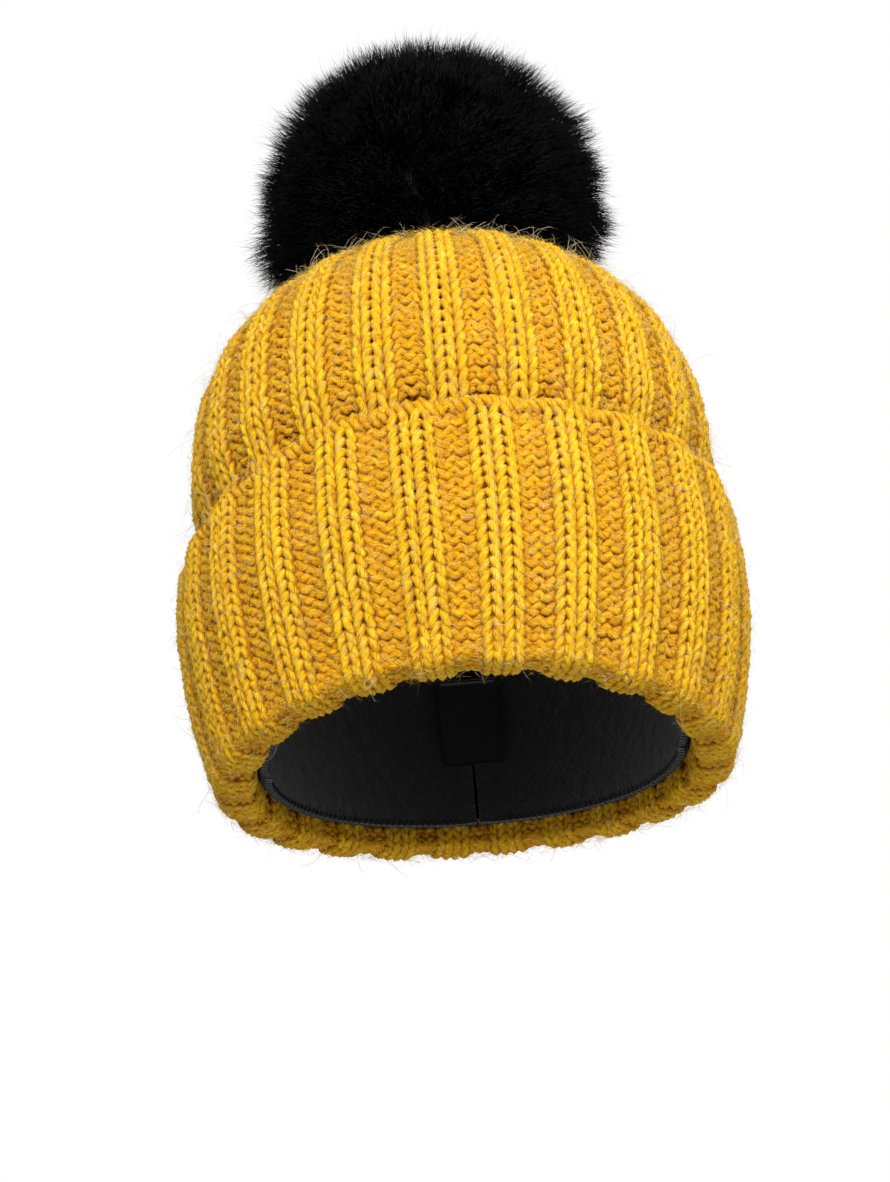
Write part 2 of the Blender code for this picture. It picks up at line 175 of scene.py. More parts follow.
lay_floor()
light_surround()
add_light("front_light", (0.02, -1.85, 0.60), 1.3, 44.0)
add_light("side_light", (1.6, -0.7, 0.35), 1.0, 6.0)
add_light("back_light", (0.3, 1.9, 1.0), 1.4, 34.0)
place_camera()
bpy.context.scene.view_settings.view_transform = "Standard"

# ---------------------------------------------------------------- turned-up cuff
# The brim end of the knitted tube, turned up on the outside: thick wool in two knit, two purl
# ribs, whose stitches stand upside down here. Its courses run from the bound-off edge at the
# top, down the outside, round the fold at the brim and a little way up inside.

cuff_low, cuff_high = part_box("turned_up_cuff")
HALF_WIDTH = (cuff_high.x - cuff_low.x) / 2
DEPTH_RATIO = -cuff_low.y / HALF_WIDTH
CUFF_HEIGHT = 0.097
CUFF_BELLY_HEIGHT = 0.056
CUFF_TOP_INSET = 0.003
BRIM_DRAW_IN = 0.0285
BRIM_OPENING = HALF_WIDTH - BRIM_DRAW_IN
FOLD_HEIGHT = 0.014
FOLD_CORNER = 0.0055
FOLD_FLAT = 0.0065
KNIT_THICKNESS = 0.008
LAYER_GAP = 0.0004
SLOUCH_START = 0.085  # the hat leans back above this height
DOME_HEIGHT = 0.192
LEAN_RATE = math.radians(8.0) / (DOME_HEIGHT - SLOUCH_START)
BRIM_DROOP = 0.006  # how much lower the brim hangs over the ears
DROOP_END = 0.065  # the height where that has evened out

RIBS = 24
STITCH_SAMPLES = 12
YARN_SIDES = 6
YARN_RADIUS = 0.00196
COURSE_GAP = 0.0043
LOOP_REACH = 0.95  # half a loop's height, in courses
PURL_REACH = 0.79
LOOP_SWING = 0.223  # sideways swing of a loop, in stitch widths
LOOP_DEPTH = 0.00175
UNEVEN_LOOPS = (0.05, 0.00022, 0.00022)  # spread of a loop's height (a share), and of its place up and out
RIB_WANDER = 0.006  # how far a rib strays round the hat, in radians
RIB_BORDER = 0.34  # share of a stitch in which a knit rib sinks to a purl one
FOLD_EASE_START = 0.076  # length down the cuff where its loops start to lie flatter
FOLD_EASE_LENGTH = 0.014
FOLD_EASE = 0.55  # share of their depth that they lose there
LEG_PINCH = 0.15  # how much narrower the yarn is where a knit leg is packed tight
PURL_PINCH = 0.13
KNIT_SINK = 0.00375  # middle of the yarn below the fabric's face, in a knit rib
PURL_SINK = 0.0059
CUFF_DROP = 0.0035  # how far the cuff's upper edge has settled all round
CUFF_SLUMP = 0.0135  # and how much further at the wearer's right
SLUMP_TURN = 1.56 * math.pi
SLUMP_SPREAD = 0.72
SLUMP_END = 0.09  # length down the cuff where nothing has settled
KNIT_WIDTH = 1.41  # width of a knit stitch when a purl stitch is 1
PLY_PITCH = 0.013
PLIES = 3
GROUND_DEPTH = 0.0062
GROUND_THICKNESS = 0.0014
OUT_STEP = 0.001  # step used to find the way out of a face
RIM_GAP = 0.001  # the ground stops this far short of a face's ends


def smooth_line(points, steps=10):
    """Catmull-Rom line: a cubic between each two points, sloped by the points on either side."""
    points = np.array(points, float)
    p = np.vstack([2 * points[0] - points[1], points, 2 * points[-1] - points[-2]])
    t = np.linspace(0, 1, steps, endpoint=False)[None, :, None]
    a, b, c, d = (p[i:len(p) - 3 + i, None, :] for i in range(4))
    line = b + (c - a) * t / 2 + (a - 2.5 * b + 2 * c - d / 2) * t**2 + (1.5 * (b - c) + (d - a) / 2) * t**3
    return np.vstack([line.reshape(-1, 2), points[-1]])


def cuff_wall():
    """Outer face of the cuff from its upper edge down to the start of the fold."""
    return smooth_line([
        (HALF_WIDTH - CUFF_TOP_INSET, CUFF_HEIGHT),
        (HALF_WIDTH - CUFF_TOP_INSET / 4, (CUFF_HEIGHT + CUFF_BELLY_HEIGHT) / 2),
        (HALF_WIDTH, CUFF_BELLY_HEIGHT),
        (HALF_WIDTH - BRIM_DRAW_IN / 12, (CUFF_BELLY_HEIGHT + FOLD_HEIGHT) / 2),
        (HALF_WIDTH - BRIM_DRAW_IN / 4, FOLD_HEIGHT),
    ])


def cuff_face():
    """The cuff's whole face: its wall, the knee, the flat under the brim, the corner and the lip."""
    wall = cuff_wall()
    flat_end = BRIM_OPENING + FOLD_CORNER
    flat_start = flat_end + FOLD_FLAT
    bend = ((wall[-1][0] + flat_start) / 2 + KNIT_THICKNESS / 8, FOLD_HEIGHT / 5)
    knee = smooth_line([wall[-1], bend, (flat_start, 0.0)])
    turn = np.radians(np.linspace(270, 180, 9))
    corner = np.stack([flat_end + FOLD_CORNER * np.cos(turn), FOLD_CORNER * (1 + np.sin(turn))], axis=1)
    return np.vstack([wall[:-1], knee, corner, (BRIM_OPENING, FOLD_HEIGHT)])


class Face:
    """A face of the fabric as a line in radius and height, read by its length from one end."""

    def __init__(self, line, outward, softness=9):
        """The way out at each mark is square to the line, averaged over the marks on either side."""
        gaps = np.linalg.norm(np.diff(line, axis=0), axis=1)
        marks = np.concatenate([[0], np.cumsum(gaps)])
        self.length = marks[-1]
        self.marks = np.linspace(0, self.length, 400)
        self.line = np.stack([np.interp(self.marks, marks, line[:, i]) for i in (0, 1)], axis=1)
        slope = np.gradient(self.line, axis=0)
        out = outward * np.stack([-slope[:, 1], slope[:, 0]], axis=1)
        padded = np.pad(out, ((softness, softness), (0, 0)), mode="edge")
        window = np.ones(2 * softness + 1)
        out = np.stack([np.convolve(padded[:, i], window, "valid") for i in (0, 1)], axis=1)
        self.out = out / np.linalg.norm(out, axis=1, keepdims=True)

    def place(self, along, depth):
        """Radius and height at a length along the face and a distance out from it."""
        radius, height, out_r, out_z = (
            np.interp(along, self.marks, values)
            for values in (self.line[:, 0], self.line[:, 1], self.out[:, 0], self.out[:, 1])
        )
        return radius + depth * out_r, height + depth * out_z

    def point(self, turn, along, depth):
        """The point there on the worn hat, at an angle round from the front."""
        return worn(turn, *self.place(along, depth))

    def outward(self, turn, along, depth):
        """The way straight out of the worn hat there."""
        return unit(self.point(turn, along, depth + OUT_STEP) - self.point(turn, along, depth))


def worn(turn, radius, height):
    """A turned point made oval front to back, on a spine that curls back above the slouch."""
    angle = np.maximum(height - SLOUCH_START, 0) * LEAN_RATE
    depth = -radius * np.cos(turn) * DEPTH_RATIO
    spine_y = (1 - np.cos(angle)) / LEAN_RATE
    droop = BRIM_DROOP * np.sin(turn) ** 2 * (1 - smooth_step(height / DROOP_END))
    spine_z = np.minimum(height, SLOUCH_START) + np.sin(angle) / LEAN_RATE - droop
    x = radius * np.sin(turn) + 0 * angle
    return np.stack([x, spine_y + depth * np.cos(angle), spine_z - depth * np.sin(angle)], axis=-1)


def smooth_step(t):
    """From 0 to 1 with level ends: 3 t^2 - 2 t^3."""
    t = np.clip(t, 0, 1)
    return t * t * (3 - 2 * t)


def unit(vectors):
    """Vectors divided by their lengths."""
    return vectors / np.maximum(np.linalg.norm(vectors, axis=-1, keepdims=True), 1e-12)


def add_piece(name, points, corners, sizes, material, uv=None):
    """A smooth mesh from its points, the corners of all its faces, and each face's corner count."""
    mesh = bpy.data.meshes.new(name)
    mesh.vertices.add(len(points))
    mesh.vertices.foreach_set("co", np.asarray(points, np.float32).ravel())
    mesh.loops.add(len(corners))
    mesh.loops.foreach_set("vertex_index", np.asarray(corners, np.int32))
    sizes = np.asarray(sizes, np.int32)
    mesh.polygons.add(len(sizes))
    mesh.polygons.foreach_set("loop_start", (np.cumsum(sizes) - sizes).astype(np.int32))
    mesh.polygons.foreach_set("use_smooth", np.ones(len(sizes), bool))
    if uv is not None:
        mesh.uv_layers.new(name="yarn").data.foreach_set("uv", np.asarray(uv, np.float32).ravel())
    mesh.update(calc_edges=True)
    mesh.materials.append(material)
    piece = bpy.data.objects.new(name, mesh)
    bpy.context.scene.collection.objects.link(piece)
    return piece


def outwards(piece):
    """Turns a closed piece's faces outwards if they all point in: the sum of a . (b x c) is below 0."""
    mesh = piece.data
    co = np.zeros(len(mesh.vertices) * 3)
    mesh.vertices.foreach_get("co", co)
    co = co.reshape(-1, 3)
    mesh.calc_loop_triangles()
    tri = np.zeros(len(mesh.loop_triangles) * 3, np.int32)
    mesh.loop_triangles.foreach_get("vertices", tri)
    a, b, c = (co[tri.reshape(-1, 3)[:, i]] for i in range(3))
    if (a * np.cross(b, c)).sum() < 0:
        mesh.flip_normals()
    return piece


def quad_piece(name, points, quads, material, uv=None):
    """A closed piece all of quads, turned outwards."""
    sizes = np.full(len(quads), 4)
    return outwards(add_piece(name, points.reshape(-1, 3), quads.ravel(), sizes, material, uv))


def grid_quads(rows, columns, close_rows=False, close_columns=False):
    """Corners of the quads of a grid of points, numbered row by row."""
    r = np.arange(rows if close_rows else rows - 1)[:, None]
    c = np.arange(columns if close_columns else columns - 1)[None, :]
    r2, c2 = (r + 1) % rows, (c + 1) % columns
    quads = [r * columns + c, r * columns + c2, r2 * columns + c2, r2 * columns + c]
    return np.stack(np.broadcast_arrays(*quads), axis=-1).reshape(-1, 4)


def rib_edges(stitches, first_turn):
    """Angles of the edges between a course's stitches, and which are knit, from one repeated rib."""
    widths = np.array([KNIT_WIDTH if s == "k" else 1.0 for s in stitches])
    widths *= 2 * math.pi / RIBS / widths.sum()
    edges = np.concatenate([[0], np.cumsum(np.tile(widths, RIBS))])
    knit = np.tile([s == "k" for s in stitches], RIBS).astype(float)
    half_pair = widths[:stitches.count("k")].sum() / 2
    return edges + first_turn - half_pair, knit


def between(values, c):
    """One value for each stitch, read smoothly anywhere along the course."""
    count = values.shape[1]
    left = np.floor(c - 0.5).astype(int)
    share = c - 0.5 - left
    return values[:, left % count] * (1 - share) + values[:, (left + 1) % count] * share


def course_paths(face, along, stitches, first_turn, thin, seed, drop, flat=1.0):
    """The yarn's middle line in each course, the outward way beside it, how deep it lies as an amount of
    painted shade, and its narrowing.

    Along a stitch of width w the phase s goes from 0 to 2 pi. The yarn moves round by
    w s / 2 pi + swing sin 2s, up and down by -reach cos s, and in and out by -depth cos 2s,
    the other way in a purl stitch.
    """
    chance = np.random.default_rng(seed)
    edges, knit = rib_edges(stitches, first_turn)
    count = len(knit)
    c = np.arange(count * STITCH_SAMPLES) / STITCH_SAMPLES
    column = np.floor(c).astype(int)
    f = c - column
    s = 2 * math.pi * f
    before, after = knit[column - 1] - knit[column], knit[(column + 1) % count] - knit[column]
    knitness = knit[column] + before * (1 - smooth_step(f / RIB_BORDER)) / 2
    knitness = knitness + after * (1 - smooth_step((1 - f) / RIB_BORDER)) / 2
    loose, shift, proud = (between(chance.normal(0, spread, (len(along), count)), c)
                           for spread in UNEVEN_LOOPS)
    wander = RIB_WANDER * np.sin(3 * edges[column] + 31 * along[:, None]) * np.sin(edges[column] + 2)
    width = edges[column + 1] - edges[column]
    turn = edges[column] + width * (f + LOOP_SWING * np.sin(2 * s)) + wander
    reach = COURSE_GAP * (PURL_REACH + (LOOP_REACH - PURL_REACH) * knitness) * thin * (1 + loose)
    line = along[:, None] - reach * np.cos(s) + shift
    sink = PURL_SINK + (KNIT_SINK - PURL_SINK) * knitness
    depth = -sink - flat * LOOP_DEPTH * np.cos(2 * s) * (2 * knitness - 1) + proud
    # Painted shade amount: how deep the yarn lies, from 0 on a proud knit leg to 1 deep in a purl rib.
    painted_shade_amount = np.clip((-depth - KNIT_SINK + LOOP_DEPTH) / (PURL_SINK - KNIT_SINK + 2 * LOOP_DEPTH), 0, 1)
    line = drop(turn, line)
    pinch = 1 - LEG_PINCH * knitness * np.sin(s) ** 2 - PURL_PINCH * (1 - knitness) + 0 * depth
    return face.point(turn, line, depth), face.outward(turn, line, depth), painted_shade_amount, pinch


def no_slump(turn, along):
    """Fabric that has not settled."""
    return along


def cuff_slump(turn, along):
    """The cuff's upper edge has settled, most at one side, and its courses close up below it."""
    side = np.exp(-((turn % (2 * math.pi) - SLUMP_TURN) / SLUMP_SPREAD) ** 2)
    return along + (CUFF_DROP + CUFF_SLUMP * side) * np.clip(1 - along / SLUMP_END, 0, 1)


def yarn_rings(points, out, pinch, radius):
    """Yarn carried along closed lines: rings of points square to each line, pinched sideways."""
    ahead = unit(np.roll(points, -1, axis=1) - np.roll(points, 1, axis=1))
    across = unit(np.cross(ahead, out))
    over = np.cross(across, ahead)
    turn = math.pi + 2 * math.pi * np.arange(YARN_SIDES) / YARN_SIDES
    across = across * pinch[..., None]
    ring = np.cos(turn)[:, None] * over[:, :, None] + np.sin(turn)[:, None] * across[:, :, None]
    return points[:, :, None] + radius[:, None, None, None] * ring


def yarn_piece(name, paths, out, painted_shade_amount, pinch, radius, material):
    """All courses of a band as one mesh of closed rings, each point carrying an amount of painted shade. Its
    UV map is length and turn round the yarn.
    """
    courses, samples = paths.shape[:2]
    rings = yarn_rings(paths, out, pinch, np.broadcast_to(radius, courses))
    quads = grid_quads(samples, YARN_SIDES, True, True)
    step = np.linalg.norm(np.roll(paths, -1, axis=1) - paths, axis=-1)
    run = np.concatenate([np.zeros((courses, 1)), np.cumsum(step, axis=1)], axis=1)
    i, k = np.meshgrid(np.arange(samples), np.arange(YARN_SIDES), indexing="ij")
    i, k = i.ravel(), k.ravel()
    round_it = np.stack([k, k + 1, k + 1, k], axis=1) / YARN_SIDES
    first = samples * YARN_SIDES * np.arange(courses)[:, None, None]
    faces = (quads + first).reshape(-1, 4)
    length = np.stack([run[:, i], run[:, i], run[:, i + 1], run[:, i + 1]], axis=-1)
    uv = np.stack(np.broadcast_arrays(length, round_it), axis=-1)
    piece = quad_piece(name, rings, faces, material, uv)
    # Each point keeps its painted shade amount for the material.
    depth = piece.data.attributes.new("painted_shade_amount", "FLOAT", "POINT")
    depth.data.foreach_set("value", np.repeat(painted_shade_amount.ravel(), YARN_SIDES).astype(np.float32))
    return piece


def ground_piece(name, face, end, drop, material, columns=192, rows=70):
    """Closed shell behind the stitches: an outer skin and an inner one, joined round both rims."""
    along = np.linspace(RIM_GAP, end, rows)
    along = np.concatenate([along, along[::-1]])[:, None]
    depth = np.repeat([-GROUND_DEPTH, -GROUND_DEPTH - GROUND_THICKNESS], rows)[:, None]
    turn = np.linspace(0, 2 * math.pi, columns, endpoint=False)[None, :]
    points = face.point(turn, drop(turn, along), depth)
    return quad_piece(name, points, grid_quads(2 * rows, columns, True, True), material)


def colour_ramp(tree, factor, stops):
    """A smooth ramp of (place, colour) stops."""
    made = node(tree, "ValToRGB", {"Fac": factor})
    made.color_ramp.interpolation = "EASE"
    elements = made.color_ramp.elements
    while len(elements) < len(stops):
        elements.new(0.5)
    for element, (place, colour) in zip(elements, stops):
        element.position = place
        element.color = (*colour, 1.0)
    return made.outputs["Color"]


def noise(tree, vector, scale, detail=2.0, roughness=0.5):
    """Uneven spots, from 0 to 1, about 1 / scale across."""
    made = node(tree, "TexNoise", {"Vector": vector, "Scale": scale, "Detail": detail,
                                   "Roughness": roughness})
    return made.outputs["Fac"]


def mix_colour(tree, share, first, second, blend_type="MIX"):
    """The first colour with a share of the second mixed into it, or multiplied by it."""
    colours = {"Factor": share, 6: first, 7: second}
    return node(tree, "Mix", colours, data_type="RGBA", blend_type=blend_type).outputs[2]


def on_object(tree):
    """Places in the hat's own frame, in metres."""
    return node(tree, "TexCoord").outputs["Object"]


def raise_grain(tree, shader, height, strength, distance):
    """Bumps a surface by a grain, distance metres deep."""
    bump = node(tree, "Bump", {"Height": height, "Strength": strength, "Distance": distance})
    feed(tree, shader.inputs["Normal"], bump.outputs["Normal"])


def grained_material(name, colour, roughness, grain, stops, relief=None, **sockets):
    """One finish from one grain: noise (scale, detail, roughness) that sets its colour and its relief."""
    material, tree, shader = new_material(name, colour, roughness, **sockets)
    spots = noise(tree, on_object(tree), *grain)
    feed(tree, shader.inputs["Base Color"], colour_ramp(tree, spots, stops))
    if relief:
        raise_grain(tree, shader, spots, *relief)
    return material


def yarn_material():
    """Heathered mustard wool: streaky fibres and tan flecks along a yarn of three twisted plies, with painted
    shade in the ply grooves, on the yarn's sides and where the yarn lies deep in the fabric.
    """
    material, tree, shader = new_material(
        "mustard_wool", (0.8, 0.4, 0.02), 0.85, Sheen_Weight=0.22, Sheen_Roughness=0.45,
        Sheen_Tint=(1.0, 0.76, 0.22, 1.0), Specular_IOR_Level=0.10)
    uv = node(tree, "UVMap", uv_map="yarn")
    split = node(tree, "SeparateXYZ", {"Vector": uv.outputs["UV"]})
    length, round_it = split.outputs["X"], split.outputs["Y"]
    twist = math_node(tree, "MULTIPLY_ADD", length, -1 / PLY_PITCH, round_it)
    phase = math_node(tree, "MULTIPLY", twist, PLIES * 2 * math.pi)
    ply = math_node(tree, "MULTIPLY_ADD", math_node(tree, "COSINE", phase), 0.5, 0.5)
    streak_place = node(tree, "CombineXYZ", {"X": math_node(tree, "MULTIPLY", length, 420.0),
                                             "Y": math_node(tree, "MULTIPLY", twist, 19.0)})
    streak = noise(tree, streak_place.outputs["Vector"], 1.0, 3.0, 0.65)
    fleck_place = node(tree, "CombineXYZ", {"X": math_node(tree, "MULTIPLY", length, 230.0),
                                            "Y": math_node(tree, "MULTIPLY", twist, 9.0),
                                            "Z": 7.0})
    fleck = noise(tree, fleck_place.outputs["Vector"], 1.0, 2.0, 0.6)
    patch = noise(tree, on_object(tree), 210.0, 4.0, 0.7)
    base = colour_ramp(tree, patch, [(0.30, (0.62, 0.285, 0.007)), (0.45, (0.85, 0.46, 0.009)),
                                     (0.60, (0.93, 0.57, 0.018)), (0.72, (0.97, 0.69, 0.065))])
    streaks = colour_ramp(tree, streak, [(0.32, (0.42, 0.33, 0.22)), (0.48, (0.98, 0.98, 0.98)),
                                         (0.66, (1.32, 1.36, 1.7))])
    colour = mix_colour(tree, 0.95, base, streaks, "MULTIPLY")
    tan = colour_ramp(tree, fleck, [(0.55, (0.0, 0.0, 0.0)), (0.66, (1.0, 1.0, 1.0))])
    colour = mix_colour(tree, math_node(tree, "MULTIPLY", tan, 0.70), colour, (0.58, 0.40, 0.17, 1.0))
    # Painted shade: the yarn is painted darker in the grooves between its plies.
    painted_groove_shade = node(tree, "MapRange", {"Value": ply, "From Max": 0.5, "To Min": 0.92, "To Max": 1.0})
    colour = mix_colour(tree, 1.0, colour, painted_groove_shade.outputs["Result"], "MULTIPLY")
    # Painted shade: the yarn is painted darker towards its sides, away from the way out of the fabric, where
    # shade falls between neighbouring legs.
    facing = math_node(tree, "COSINE", math_node(tree, "MULTIPLY", round_it, 2 * math.pi))
    front = math_node(tree, "MULTIPLY_ADD", facing, -0.5, 0.5)
    painted_crease_shade = colour_ramp(tree, front, [(0.55, (0.30, 0.19, 0.09)), (0.80, (0.76, 0.63, 0.42)),
                                       (0.93, (1.0, 1.0, 1.0))])
    colour = mix_colour(tree, 0.85, colour, painted_crease_shade, "MULTIPLY")
    # Painted shade: the deeper the yarn lies in the fabric, the darker and more orange it is painted; the
    # proudest yarn is painted a little lighter.
    painted_shade_amount = node(tree, "Attribute", attribute_type="GEOMETRY", attribute_name="painted_shade_amount").outputs["Fac"]
    shade = colour_ramp(tree, painted_shade_amount, [(0.10, (1.04, 1.04, 1.04)), (0.55, (0.93, 0.80, 0.55)),
                                     (1.0, (0.58, 0.40, 0.25))])
    feed(tree, shader.inputs["Base Color"], mix_colour(tree, 1.0, colour, shade, "MULTIPLY"))
    relief = math_node(tree, "MULTIPLY_ADD", math_node(tree, "POWER", ply, 0.5), 0.35, streak)
    raise_grain(tree, shader, relief, 0.7, 0.0005)
    return material


def ground_material():
    """The backs of the loops seen between the stitches: mustard wool painted much darker, as painted shade
    between the stitches.
    """
    return grained_material("wool_ground_painted_shade", (0.3, 0.12, 0.01), 0.95, (600.0, 3.0, 0.6),
                            [(0.3, (0.10, 0.035, 0.004)), (0.7, (0.34, 0.135, 0.010))],
                            (0.9, 0.0008), Specular_IOR_Level=0.1)


def finish(piece, body, cad_node):
    """The piece rides on a body and stands for a CAD node, which is hidden."""
    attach(piece, body)
    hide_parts(cad_node)
    return piece


def finish_knit(piece, cad_node):
    """A piece of the hat's own wool."""
    return finish(piece, "hat", cad_node)


def fold_ease(along):
    """How far loops stand in and out: in full on the wall, about half where the fabric is folded."""
    return 1 - FOLD_EASE * smooth_step((along - FOLD_EASE_START) / FOLD_EASE_LENGTH)[:, None]


wool = yarn_material()
wool_ground_painted_shade = ground_material()
cuff = Face(cuff_face(), 1)
RIB_TURN = 2 * math.pi / RIBS
CUFF_FIRST_TURN = RIB_TURN / 2  # a purl channel stands at the front of the cuff
CUFF_BANDS = ("cuff_courses_upper", "cuff_courses_middle", "cuff_courses_lower")

cuff_along = np.arange(COURSE_GAP * 0.8, cuff.length - COURSE_GAP * 0.3, COURSE_GAP)
for index, rows in enumerate(np.array_split(cuff_along, len(CUFF_BANDS))):
    laid = course_paths(cuff, rows, "kkpp", CUFF_FIRST_TURN, 1.0, 10 + index, cuff_slump, fold_ease(rows))
    band = yarn_piece(CUFF_BANDS[index], *laid, YARN_RADIUS, wool)
    finish_knit(band, "turned_up_cuff")
cuff_ground = ground_piece("cuff_ground", cuff, cuff.length - RIM_GAP, cuff_slump, wool_ground_painted_shade)
finish_knit(cuff_ground, "turned_up_cuff")

# ---------------------------------------------------------------- knitted crown
# The rest of the same tube: it rises from inside the cuff, and the purl stitches and then half
# of the knit ones are taken in towards the top, where a yarn draws the last course together.

CROWN_INSET = 0.007
DOME_POWER = 2.65
CROWN_BASE = 0.111  # the dome starts here, above the cuff
CROWN_START = 0.070  # first course that shows, just inside the cuff
CROWN_END_RADIUS = 0.0135
# name, and the shares of the plain courses between which the band lies
BANDS = (("crown_courses_lower", 0.0, 0.5), ("crown_courses_upper", 0.5, 1.0))
PLAIN_END_RADIUS = 0.082  # where the first stitches are taken in
# name, the stitches left in each rib, and the radius where the band ends
SHAPING = (("crown_decrease_purl", "kkp", 0.050), ("crown_decrease_knit", "kk", 0.028),
           ("crown_decrease_last", "k", CROWN_END_RADIUS))
SHAPING_TIGHTEN = 0.08  # each shaping band's courses are this much closer than the last one's
SHAPING_DEPTH = 0.75  # how far its loops stand in and out, as a share of the full depth,
SHAPING_FLATTEN = 0.1  # and how much less in each band
CROWDED_YARN = 0.27  # the yarn's radius in stitch widths, where the stitches crowd
POLE_RADIUS = 0.004  # a face ends this far from the hat's axis


def crown_face():
    """Outer face of the crown: a short waist inside the cuff, then a quarter of a superellipse."""
    width = HALF_WIDTH - CROWN_INSET
    power = 2 / DOME_POWER
    last = math.acos((POLE_RADIUS / width) ** (1 / power))
    angles = np.linspace(0, last, 60)
    dome = np.stack([width * np.cos(angles) ** power,
                     CROWN_BASE + (DOME_HEIGHT - CROWN_BASE) * np.sin(angles) ** power], axis=1)
    inside = cuff_wall() - np.array([KNIT_THICKNESS + LAYER_GAP, 0])
    low = inside[inside[:, 1] > CUFF_BELLY_HEIGHT][::-1]
    waist = smooth_line([low[-2], low[-1], dome[0], dome[2]])
    waist = waist[(waist[:, 1] > low[-1][1]) & (waist[:, 1] < dome[0][1])]
    return np.vstack([low, waist, dome])


def length_at_radius(face, radius):
    """Length along the upper half of the face where it has come in to this radius."""
    upper = face.marks > face.length / 2
    return float(np.interp(-radius, -face.line[upper, 0], face.marks[upper]))


def length_at_height(face, height):
    """Length along the lower half of the face where it has risen to this height."""
    lower = face.marks < face.length / 2
    return float(np.interp(height, face.line[lower, 1], face.marks[lower]))


crown = Face(crown_face(), -1)
crown_pieces = []
plain_start = length_at_height(crown, CROWN_START)
plain_end = length_at_radius(crown, PLAIN_END_RADIUS)
plain_rows = np.arange(plain_start, plain_end, COURSE_GAP)
for index, (name, low, high) in enumerate(BANDS):
    rows = plain_rows[int(low * len(plain_rows)):int(high * len(plain_rows))]
    laid = course_paths(crown, rows, "kkpp", 0.0, 1.0, 20 + index, no_slump)
    crown_pieces.append(yarn_piece(name, *laid, YARN_RADIUS, wool))
next_row = plain_rows[-1]
for index, (name, stitches, end_radius) in enumerate(SHAPING):
    end = length_at_radius(crown, end_radius)
    tight = 1 - SHAPING_TIGHTEN * index
    count = max(2, round((end - next_row) / (COURSE_GAP * tight)))
    rows = np.linspace(next_row, end, count + 1)[1:]
    next_row = end
    radius = crown.place(rows, 0)[0]
    rib_stitches = sum(KNIT_WIDTH if s == "k" else 1 for s in stitches)
    knit_width = 2 * math.pi * radius / RIBS * KNIT_WIDTH / rib_stitches
    yarn_radius = np.minimum(YARN_RADIUS, CROWDED_YARN * knit_width)
    laid = course_paths(crown, rows, stitches, 0.0, tight, 30 + index, no_slump,
                        SHAPING_DEPTH - SHAPING_FLATTEN * index)
    crown_pieces.append(yarn_piece(name, *laid, yarn_radius, wool))
crown_pieces = [finish_knit(piece, "knit_crown") for piece in crown_pieces]
crown_ground = ground_piece("crown_ground", crown, length_at_radius(crown, CROWN_END_RADIUS), no_slump,
                            wool_ground_painted_shade, rows=90)
finish_knit(crown_ground, "knit_crown")

# ---------------------------------------------------------------- edge
# The cuff's upper edge: the yarn of the last course bound off as a rope of two strands.

EDGE_STRAND = 0.0017
EDGE_TWIST = 96
WRAP_SAMPLES = 8  # points on a thread for each time it winds round
EDGE_PAINTED_SHADE = 0.4  # painted shade on the edge's yarn, from 0 to 1


def face_ring(face, turn, along, depth, painted_shade_amount):
    """A thread's line round a face, the outward way beside it, and its even painted shade and width."""
    even = np.ones((1, len(turn)))
    return face.point(turn, along, depth)[None], face.outward(turn, along, depth)[None], painted_shade_amount * even, even


def edge_rope(strand):
    """One of two strands wound round the cuff's edge: a ring whose small circle turns EDGE_TWIST times."""
    turn = np.linspace(0, 2 * math.pi, EDGE_TWIST * WRAP_SAMPLES, endpoint=False)
    wind = EDGE_TWIST * turn + strand * math.pi
    rib = 0.5 + 0.5 * np.cos(RIBS * (turn - CUFF_FIRST_TURN))
    depth = -PURL_SINK + (PURL_SINK - KNIT_SINK) * rib + EDGE_STRAND * np.cos(wind)
    return face_ring(cuff, turn, cuff_slump(turn, EDGE_STRAND * np.sin(wind)), depth, EDGE_PAINTED_SHADE)


for strand in (0, 1):
    edge = yarn_piece(f"edge_rope_{strand + 1}", *edge_rope(strand), EDGE_STRAND, wool)
    finish_knit(edge, "cuff_bind_off")

# ---------------------------------------------------------------- wool fuzz
# Loose wool fibres that stand off the yarn: mostly short ones lying over the stitches, and a
# few long ones that stick out.

FIBRE_RADIUS = 0.000052
FLYAWAY_RADIUS = 0.000055
FIBRE_ROOTS = (0.0008, 0.0042)  # how deep in the fabric its fibres start
FIBRE_BOW = 0.26  # how far a fibre bends, as a share of its length
HAIR_TAPER = 0.4  # share of its width that a hair loses towards its tip
SHORT = (0.0,)  # where a fibre's rings stand along it
CURLED = (0.0, 0.35, 0.7)
CUFF_FUZZ_END = 0.86  # share of the cuff's face, from its upper edge, that carries fuzz
TOP_FUZZ_START = 0.8  # share of the plain courses below the extra fuzz of the crown's top
FUZZ_CLEAR = 0.004  # width of the bare ring round the gathered hole


